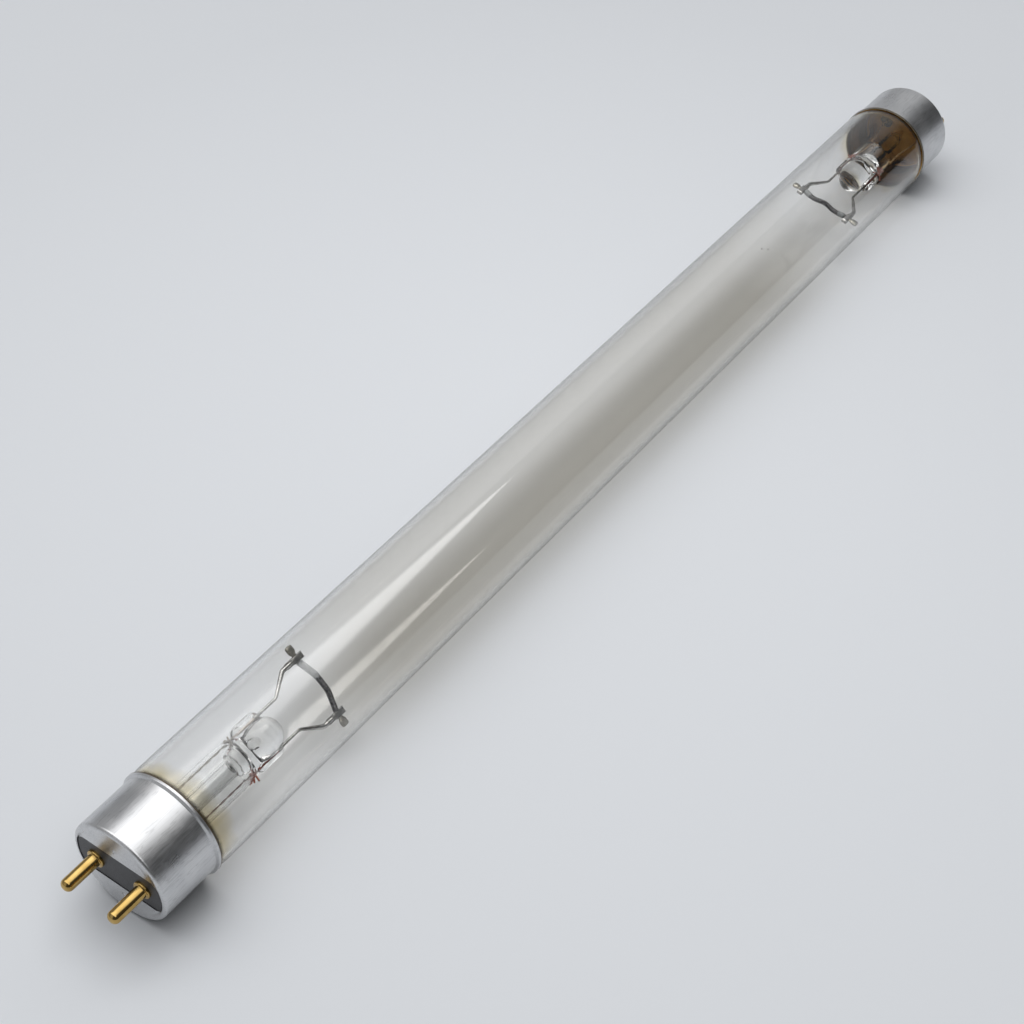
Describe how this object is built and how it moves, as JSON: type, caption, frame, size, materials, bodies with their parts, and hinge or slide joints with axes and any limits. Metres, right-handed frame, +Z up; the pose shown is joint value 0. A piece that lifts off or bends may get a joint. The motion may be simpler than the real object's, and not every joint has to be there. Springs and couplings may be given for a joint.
{
  "type": "double-ended uvc tube lamp",
  "caption": "Straight clear glass germicidal tube lamp with a metal two-pin cap at each end and a glass stem that holds a wire cathode inside each end.",
  "frame": {"origin": "centre of the lamp, on its long axis", "axes": "+X runs along the lamp from the cap nearest the camera to the far cap, the pins of both caps lie in a row along Y, and +Z is up as the lamp lies"},
  "size_m": [0.349, 0.0264, 0.0262],
  "materials": {
    "tube_glass": "clear polished glass",
    "stem_glass": "clear pressed glass",
    "cap_aluminium": "satin drawn sheet with faint scuffs",
    "insulator_plastic": "matte charcoal",
    "pin_brass": "polished",
    "basing_cement": "matte beige, baked",
    "lead_copper": "bare copper wire",
    "seal_dumet": "dark red copper-clad wire",
    "lead_nickel": "drawn nickel wire",
    "cathode_tungsten": "grey coated coil",
    "mercury": "bright liquid metal"
  },
  "bodies": {
    "root": {"glass_tube": "tube_glass", "near_cap_shell": "cap_aluminium", "near_cap_insulator": "insulator_plastic", "near_basing_cement": "basing_cement", "near_stem": "stem_glass", "near_exhaust_tube": "stem_glass", "near_cathode": "cathode_tungsten", "near_pin_a": "pin_brass", "near_outer_lead_a": "lead_copper", "near_seal_wire_a": "seal_dumet", "near_electrode_lead_a": "lead_nickel", "near_pin_b": "pin_brass", "near_outer_lead_b": "lead_copper", "near_seal_wire_b": "seal_dumet", "near_electrode_lead_b": "lead_nickel", "far_cap_shell": "cap_aluminium", "far_cap_insulator": "insulator_plastic", "far_basing_cement": "basing_cement", "far_stem": "stem_glass", "far_exhaust_tube": "stem_glass", "far_cathode": "cathode_tungsten", "far_pin_a": "pin_brass", "far_outer_lead_a": "lead_copper", "far_seal_wire_a": "seal_dumet", "far_electrode_lead_a": "lead_nickel", "far_pin_b": "pin_brass", "far_outer_lead_b": "lead_copper", "far_seal_wire_b": "seal_dumet", "far_electrode_lead_b": "lead_nickel", "mercury_drops": "mercury"}
  },
  "joints": []
}
